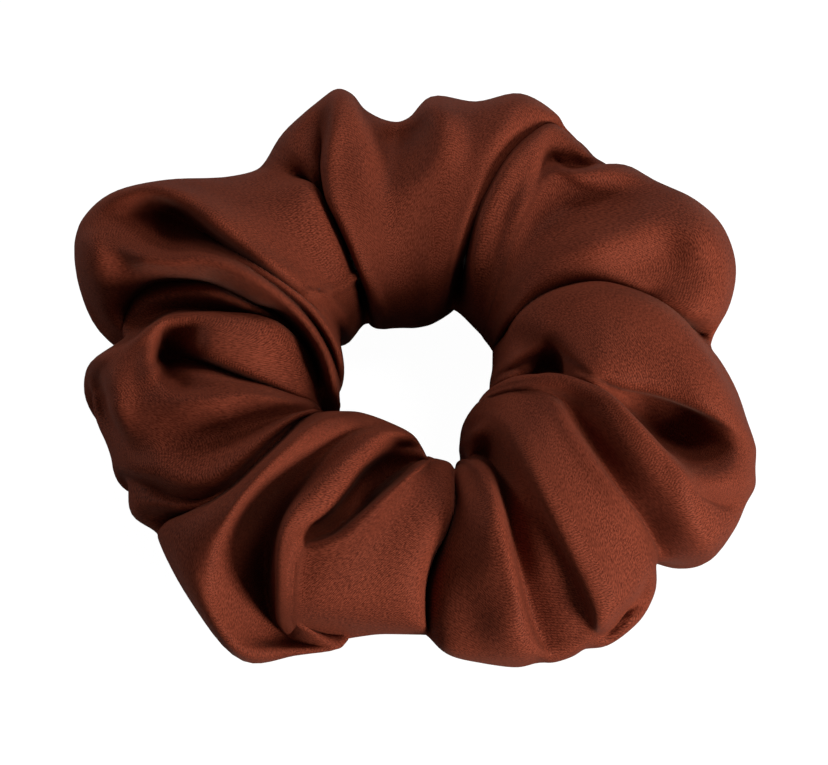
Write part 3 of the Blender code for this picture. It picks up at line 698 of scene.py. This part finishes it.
def round_over(grid, row, reach, rounds):
    """Rounds the cloth over along one row, where what is seen of a fold meets what is hidden."""
    rows = grid.shape[1]
    away = np.abs((np.arange(rows) - row + rows / 2) % rows - rows / 2)
    share = ROUND_OVER_SHARE * np.exp(-(away / reach) ** 2)[None, :, None]
    for _ in range(rounds):
        mean = (np.roll(grid, 1, 1) + np.roll(grid, -1, 1)) / 2
        grid = grid + share * (mean - grid)
    return grid


def clear_elastic(grid):
    """Moves cloth off the elastic, and off the floor."""
    low, high = (np.array(corner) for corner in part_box("elastic_band"))
    middle = (low + high) / 2
    loop_radius = (high[0] - low[0]) / 2
    half_height = (high[2] - low[2]) / 2 + ELASTIC_CLEARANCE
    from_middle = grid - middle
    radius = np.hypot(from_middle[:, :, 0], from_middle[:, :, 1])
    across = (radius - loop_radius) / ELASTIC_CLEARANCE
    above = from_middle[:, :, 2] / half_height
    level = np.maximum(np.hypot(across, above), SMALLEST_GAP)
    grow = np.maximum(1 / level, 1)
    wanted = loop_radius + (radius - loop_radius) * grow
    moved = from_middle.copy()
    moved[:, :, :2] *= (wanted / radius)[:, :, None]
    moved[:, :, 2] *= grow
    grid = middle + moved
    grid[:, :, 2] = np.maximum(grid[:, :, 2], FLOOR_CLEARANCE)
    return grid


def cloth_grid():
    """The sleeve's points, softened and clear of the elastic."""
    grid = soften(sleeve_grid(), SOFTEN_ROUNDS, SOFTEN_SHARE)
    grid = round_over(grid, 0, *RIM_ROUNDING)
    grid = round_over(grid, SEEN_ROWS, *HOLE_ROUNDING)
    return clear_elastic(grid)


def grid_faces(columns, rows, closed_rows):
    """Corner numbers of a grid's quads. Its columns close round the ring, its rows only if asked."""
    number = np.arange(columns * rows).reshape(columns, rows)
    ahead = np.roll(number, -1, 0)
    above = np.roll(number, -1, 1)
    beyond = np.roll(ahead, -1, 1)
    last = rows if closed_rows else rows - 1
    return np.stack([number, ahead, beyond, above], axis=-1)[:, :last].reshape(-1, 4)


def outward(grid):
    """Unit normals of a closed grid, away from the inside of the tube."""
    along = np.roll(grid, -1, 0) - np.roll(grid, 1, 0)
    across = np.roll(grid, -1, 1) - np.roll(grid, 1, 1)
    normal = np.cross(along, across)
    return normal / np.maximum(np.linalg.norm(normal, axis=2, keepdims=True), SMALLEST_NORM)


def grid_at(grid, places):
    """Points of a closed grid at fractional (column, row) places."""
    columns, rows, _ = grid.shape
    column = np.floor(places[:, 0]).astype(int)
    row = np.floor(places[:, 1]).astype(int)
    u = (places[:, 0] - column)[:, None]
    v = (places[:, 1] - row)[:, None]
    here = column % columns
    ahead = (column + 1) % columns
    low = row % rows
    high = (row + 1) % rows
    near = grid[here, low] * (1 - u) + grid[ahead, low] * u
    far = grid[here, high] * (1 - u) + grid[ahead, high] * u
    return near * (1 - v) + far * v


def hem_places(grid):
    """(column, row) places round the tube along the hem, and which of them the photograph shows."""
    columns, rows, _ = grid.shape
    faces = grid_faces(columns, rows, closed_rows=True)
    cloth = BVHTree.FromPolygons(grid.reshape(-1, 3).tolist(), faces.tolist())
    shown = []
    for pixel in HEM_PIXELS:
        place, direction = pixel_ray(pixel)
        hit = cloth.ray_cast(Vector(place), Vector(direction))
        column, row = divmod(int(faces[hit[2]][0]), rows)
        shown.append((column + (columns if column < columns / 2 else 0), row))
    first, last = shown[0], shown[-1]
    under = [
        (last[0], SEEN_ROWS),
        ((last[0] + columns) / 2, (SEEN_ROWS + rows) / 2),
        (columns, rows),
        (columns, rows + first[1] / 2),
        (first[0], rows + first[1]),
    ]
    path = np.array(shown + under, float)
    spread = even_parameters(path, HEM_STEPS + 1)[:-1]
    return smooth_path(path, spread), spread <= len(shown) - 1


def crease_hem(grid, places, shown):
    """Presses a puckered crease into the cloth along what shows of the hem."""
    line = grid_at(grid, places[shown])
    points = grid.reshape(-1, 3)
    nearest = np.full(len(points), np.inf)
    along = np.zeros(len(points))
    for n, place in enumerate(line):
        distance = np.linalg.norm(points - place, axis=1)
        closer = distance < nearest
        nearest[closer] = distance[closer]
        along[closer] = n / len(line)
    pucker = 1 - HEM_PUCKER_SHARE + HEM_PUCKER_SHARE * np.cos(math.tau * HEM_PUCKERS * along)
    depth = HEM_CREASE * pucker * np.exp(-(nearest / HEM_CREASE_WIDTH) ** 2)
    return grid - outward(grid) * depth.reshape(grid.shape[:2])[:, :, None]


def seam_edges(grid):
    """Points of the seam line, the way into the tube from it and the way across it, for each column."""
    seam = grid[:, SEAM_ROW]
    inward = grid.mean(axis=1) - seam
    inward /= np.linalg.norm(inward, axis=1, keepdims=True)
    across = grid[:, SEAM_ROW + 1] - grid[:, SEAM_ROW - 1]
    across -= inward * np.sum(across * inward, axis=1, keepdims=True)
    across /= np.linalg.norm(across, axis=1, keepdims=True)
    return seam, inward, across


def open_sheet(grid):
    """The tube's cloth as an open sheet, from one seam allowance round to the other."""
    seam, inward, across = seam_edges(grid)
    tube = np.roll(grid, -SEAM_ROW, axis=1)[:, 1:]
    start = [seam + inward * depth + across * SEAM_GAP / 2 for depth in (*SEAM_DEPTHS, 0)]
    end = [seam + inward * depth - across * SEAM_GAP / 2 for depth in (0, *SEAM_DEPTHS[::-1])]
    return np.concatenate([np.stack(start, axis=1), tube, np.stack(end, axis=1)], axis=1)


def cloth_places(sheet):
    """Flat place of each corner of the sheet's quads, in metres along and across the cloth."""
    columns, rows, _ = sheet.shape
    across = np.linalg.norm(np.diff(sheet, axis=1), axis=2)
    across = np.concatenate([np.zeros((columns, 1)), np.cumsum(across, axis=1)], axis=1)
    along = np.linalg.norm(np.diff(sheet, axis=0, append=sheet[:1]), axis=2).mean(axis=1)
    along = np.concatenate([[0], np.cumsum(along)])
    column, row = (part.reshape(-1) for part in np.indices((columns, rows - 1)))
    ahead = (column + 1) % columns
    corners = (
        (along[column], across[column, row]),
        (along[column + 1], across[ahead, row]),
        (along[column + 1], across[ahead, row + 1]),
        (along[column], across[column, row + 1]),
    )
    return np.stack([np.stack(corner, axis=-1) for corner in corners], axis=1)


def new_piece(name, points, faces, material):
    """Mesh object of these points and faces."""
    data = bpy.data.meshes.new(name)
    data.from_pydata(points.reshape(-1, 3).tolist(), [], faces.tolist())
    data.shade_smooth()
    data.materials.append(material)
    piece = bpy.data.objects.new(name, data)
    bpy.context.scene.collection.objects.link(piece)
    return piece


def make_sleeve(grid, material):
    """The satin: an open sheet, as thick as the cloth."""
    sheet = open_sheet(grid)
    faces = grid_faces(*sheet.shape[:2], closed_rows=False)
    sleeve = new_piece("sleeve_cloth", sheet, faces, material)
    flat = sleeve.data.uv_layers.new(name="cloth")
    flat.data.foreach_set("uv", cloth_places(sheet).ravel())
    wall = sleeve.modifiers.new("cloth", "SOLIDIFY")
    wall.thickness = CLOTH
    wall.offset = -1
    return sleeve


def make_thread(name, points, material):
    """A round thread along a closed line."""
    ahead = np.roll(points, -1, 0) - np.roll(points, 1, 0)
    ahead /= np.linalg.norm(ahead, axis=1, keepdims=True)
    side = np.cross(ahead, (0, 0, 1))
    side /= np.maximum(np.linalg.norm(side, axis=1, keepdims=True), SMALLEST_NORM)
    over = np.cross(side, ahead)
    turns = np.arange(THREAD_SIDES) * math.tau / THREAD_SIDES
    rings = [points + (side * math.cos(turn) + over * math.sin(turn)) * THREAD / 2 for turn in turns]
    tube = np.stack(rings, axis=1)
    return new_piece(name, tube, grid_faces(len(points), THREAD_SIDES, closed_rows=True), material)


def make_tube_seam(grid, material):
    """Needle and bobbin thread on the two sides of the seam allowances."""
    seam, inward, across = seam_edges(grid)
    off = SEAM_GAP / 2 + CLOTH + THREAD / 2
    line = seam + inward * SEAM_DEPTHS[1]
    needle = make_thread("seam_needle_thread", line + across * off, material)
    bobbin = make_thread("seam_bobbin_thread", line - across * off, material)
    return needle, bobbin


def make_hem_stitches(grid, places, shown, material):
    """Needle thread that bows over the cloth where the hem shows, else runs inside it, and bobbin thread."""
    normals = grid_at(outward(grid), places)
    line = grid_at(grid, places)
    steps = np.linalg.norm(np.diff(line, axis=0, append=line[:1]), axis=1)
    along = np.concatenate([[0], np.cumsum(steps)[:-1]])
    stitches = max(round(steps.sum() / STITCH), 1)
    bow = np.abs(np.sin(math.pi * stitches * along / steps.sum()))
    over = (STITCH_SEAT + STITCH_RISE * bow)[:, None]
    inside = grid_at(grid + (grid.mean(axis=1, keepdims=True) - grid) * HEM_INSIDE, places)
    stitched = np.where(shown[:, None], line + normals * over, inside)
    needle = make_thread("hem_needle_thread", stitched, material)
    bobbin = make_thread("hem_bobbin_thread", inside - normals * BOBBIN_DEPTH, material)
    return needle, bobbin


def make_elastic(material):
    """Flat band on edge, its ends lapped at the closure."""
    low, high = (np.array(corner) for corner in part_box("elastic_band"))
    lap_box = [np.array(corner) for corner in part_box("elastic_lap_needle_thread")]
    middle = (low + high) / 2
    lap_way = (lap_box[0] + lap_box[1]) / 2 - middle
    radius = (high[0] - low[0] - ELASTIC_THICKNESS) / 2
    lap = ELASTIC_LAP / radius
    share = np.linspace(0, 1, ELASTIC_STEPS)
    turns = math.atan2(lap_way[1], lap_way[0]) - lap / 2 + (math.tau + lap) * share
    step = (2 * share - 1) * ELASTIC_LAP_STEP
    corners = ((0.5, low[2]), (0.5, high[2]), (-0.5, high[2]), (-0.5, low[2]))
    rings = []
    for side, height in corners:
        reach = radius + step + side * ELASTIC_THICKNESS
        flat = np.stack([middle[0] + reach * np.cos(turns), middle[1] + reach * np.sin(turns)], axis=1)
        rings.append(np.concatenate([flat, np.full((ELASTIC_STEPS, 1), height)], axis=1))
    band = np.stack(rings, axis=1)
    number = np.arange(ELASTIC_STEPS * len(corners)).reshape(ELASTIC_STEPS, len(corners))
    beside = np.roll(number, -1, 1)
    faces = np.stack([number[:-1], beside[:-1], beside[1:], number[1:]], axis=-1).reshape(-1, 4)
    ends = np.array([number[0][::-1], number[-1]])
    return new_piece("elastic_braid", band, np.concatenate([faces, ends]), material)


def math_node(nodes, links, operation, first, second=None):
    """Math node on a socket or a number, or on two of them."""
    node = nodes.new("ShaderNodeMath")
    node.operation = operation
    for socket, value in zip(node.inputs, (first, second)):
        if isinstance(value, (int, float)):
            socket.default_value = value
        elif value is not None:
            links.new(value, socket)
    return node.outputs[0]


def noise_node(nodes, links, vector, scale, detail):
    """Noise at a vector socket."""
    node = nodes.new("ShaderNodeTexNoise")
    node.inputs["Scale"].default_value = scale
    node.inputs["Detail"].default_value = detail
    links.new(vector, node.inputs["Vector"])
    return node.outputs["Fac"]


def satin_material():
    """Satin with a fine, uneven twill line across it, and uneven yarns and dye."""
    material = bpy.data.materials.new("satin")
    material.use_nodes = True
    nodes = material.node_tree.nodes
    links = material.node_tree.links
    shader = nodes["Principled BSDF"]
    cloth = nodes.new("ShaderNodeUVMap")
    cloth.uv_map = "cloth"
    split = nodes.new("ShaderNodeSeparateXYZ")
    links.new(cloth.outputs["UV"], split.inputs[0])
    place = nodes.new("ShaderNodeTexCoord").outputs["Object"]

    slub = noise_node(nodes, links, place, SLUB_SCALE, FINE_DETAIL)
    patch = noise_node(nodes, links, place, PATCH_SCALE, BROAD_DETAIL)
    stretched = nodes.new("ShaderNodeMapping")
    stretched.inputs["Scale"].default_value = STREAK_SCALE
    links.new(cloth.outputs["UV"], stretched.inputs["Vector"])
    streak = noise_node(nodes, links, stretched.outputs["Vector"], scale=1, detail=FINE_DETAIL)
    wander = math_node(nodes, links, "MULTIPLY", slub, TWILL_WANDER)
    diagonal = math_node(nodes, links, "ADD", split.outputs["X"], split.outputs["Y"])
    diagonal = math_node(nodes, links, "ADD", diagonal, wander)
    turns = math_node(nodes, links, "MULTIPLY", diagonal, math.tau / TWILL_PITCH)
    twill = math_node(nodes, links, "SINE", turns)
    weave = math_node(nodes, links, "MULTIPLY", twill, streak)

    tone = math_node(nodes, links, "MULTIPLY", weave, TWILL_TONE)
    for source, share in ((slub, SLUB_TONE), (streak, STREAK_TONE), (patch, PATCH_TONE)):
        tone = math_node(nodes, links, "ADD", tone, math_node(nodes, links, "MULTIPLY", source, share))
    tone = math_node(nodes, links, "SUBTRACT", tone, TONE_OFFSET)
    colour = nodes.new("ShaderNodeMix")
    colour.data_type = "RGBA"
    colour.inputs["A"].default_value = SATIN_DARK
    colour.inputs["B"].default_value = SATIN_LIGHT
    links.new(tone, colour.inputs["Factor"])
    links.new(colour.outputs["Result"], shader.inputs["Base Color"])

    bump = nodes.new("ShaderNodeBump")
    bump.inputs["Distance"].default_value = TWILL_RELIEF
    links.new(weave, bump.inputs["Height"])
    links.new(bump.outputs["Normal"], shader.inputs["Normal"])

    rough = math_node(nodes, links, "MULTIPLY", patch, PATCH_ROUGHNESS)
    rough = math_node(nodes, links, "ADD", rough, SATIN_ROUGHNESS)
    links.new(rough, shader.inputs["Roughness"])
    shader.inputs["Specular IOR Level"].default_value = SATIN_SPECULAR
    shader.inputs["Specular Tint"].default_value = SPECULAR_TINT
    shader.inputs["Sheen Weight"].default_value = SATIN_SHEEN
    shader.inputs["Sheen Roughness"].default_value = SHEEN_ROUGHNESS
    shader.inputs["Sheen Tint"].default_value = SHEEN_TINT
    return material


def yarn_material(name, dark, light, roughness):
    """Twisted yarn: fine uneven tone and relief."""
    material = bpy.data.materials.new(name)
    material.use_nodes = True
    nodes = material.node_tree.nodes
    links = material.node_tree.links
    shader = nodes["Principled BSDF"]
    place = nodes.new("ShaderNodeTexCoord").outputs["Object"]
    fibre = noise_node(nodes, links, place, YARN_SCALE, BROAD_DETAIL)
    colour = nodes.new("ShaderNodeMix")
    colour.data_type = "RGBA"
    colour.inputs["A"].default_value = dark
    colour.inputs["B"].default_value = light
    links.new(fibre, colour.inputs["Factor"])
    links.new(colour.outputs["Result"], shader.inputs["Base Color"])
    bump = nodes.new("ShaderNodeBump")
    bump.inputs["Distance"].default_value = YARN_RELIEF
    links.new(fibre, bump.inputs["Height"])
    links.new(bump.outputs["Normal"], shader.inputs["Normal"])
    shader.inputs["Roughness"].default_value = roughness
    return material


def make_stage():
    """Plain white floor."""
    bpy.ops.mesh.primitive_plane_add(size=FLOOR_SIZE)
    floor = bpy.context.object
    floor.name = "floor"
    material = bpy.data.materials.new("floor_white")
    material.use_nodes = True
    nodes = material.node_tree.nodes
    links = material.node_tree.links
    nodes.clear()
    output = nodes.new("ShaderNodeOutputMaterial")
    paper = nodes.new("ShaderNodeBsdfDiffuse")
    paper.inputs["Color"].default_value = FLOOR_BOUNCE
    shadow = nodes.new("ShaderNodeBsdfDiffuse")
    shadow.inputs["Color"].default_value = FLOOR_SHADOW
    white = nodes.new("ShaderNodeEmission")
    white.inputs["Strength"].default_value = FLOOR_WHITE
    seen = nodes.new("ShaderNodeAddShader")
    links.new(shadow.outputs[0], seen.inputs[0])
    links.new(white.outputs[0], seen.inputs[1])
    path = nodes.new("ShaderNodeLightPath")
    mix = nodes.new("ShaderNodeMixShader")
    links.new(path.outputs["Is Camera Ray"], mix.inputs[0])
    links.new(paper.outputs[0], mix.inputs[1])
    links.new(seen.outputs[0], mix.inputs[2])
    links.new(mix.outputs[0], output.inputs[0])
    floor.data.materials.append(material)


def make_light():
    """Soft light all round, and soft lamps that face the part."""
    world = bpy.data.worlds.new("studio")
    bpy.context.scene.world = world
    world.use_nodes = True
    background = world.node_tree.nodes["Background"]
    background.inputs["Color"].default_value = WORLD_COLOUR
    background.inputs["Strength"].default_value = WORLD_STRENGTH
    for name, (place, power) in LAMPS.items():
        lamp = bpy.data.lights.new(name, "AREA")
        lamp.size = LAMP_SIZE
        lamp.energy = power
        obj = bpy.data.objects.new(name, lamp)
        bpy.context.scene.collection.objects.link(obj)
        obj.location = place
        obj.rotation_euler = (CAMERA_TARGET - Vector(place)).to_track_quat("-Z", "Y").to_euler()


def make_camera():
    """Camera at the photograph's angle."""
    place, _, _, forward = camera_axes()
    data = bpy.data.cameras.new("camera")
    data.sensor_width = SENSOR * MILLIMETRES
    data.lens = FOCAL_PIXELS / IMAGE_WIDTH * SENSOR * MILLIMETRES
    data.clip_end = CAMERA_CLIP_END
    camera = bpy.data.objects.new("camera", data)
    bpy.context.scene.collection.objects.link(camera)
    camera.location = place
    camera.rotation_euler = forward.to_track_quat("-Z", "Y").to_euler()
    bpy.context.scene.camera = camera


bpy.context.scene.view_settings.view_transform = "Standard"
grid = cloth_grid()
hem, hem_shown = hem_places(grid)
grid = crease_hem(grid, hem, hem_shown)
thread = yarn_material("thread", THREAD_DARK, THREAD_LIGHT, THREAD_ROUGHNESS)
braid = yarn_material("braid", BRAID_DARK, BRAID_LIGHT, BRAID_ROUGHNESS)
sleeve = make_sleeve(grid, satin_material())
elastic = make_elastic(braid)
seam_needle, seam_bobbin = make_tube_seam(grid, thread)
hem_needle, hem_bobbin = make_hem_stitches(grid, hem, hem_shown, thread)

for piece, node, slot in (
    (sleeve, "satin_sleeve", "satin"),
    (elastic, "elastic_band", "elastic"),
    (seam_needle, "tube_seam_needle_thread", "thread"),
    (seam_bobbin, "tube_seam_bobbin_thread", "thread"),
    (hem_needle, "closing_seam_needle_thread", "thread"),
    (hem_bobbin, "closing_seam_bobbin_thread", "thread"),
):
    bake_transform(piece)
    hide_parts(node)
for node in ("elastic_lap_needle_thread", "elastic_lap_bobbin_thread"):
    bpy.data.objects[node].data.materials.clear()
    bpy.data.objects[node].data.materials.append(thread)
make_stage()
make_light()
make_camera()
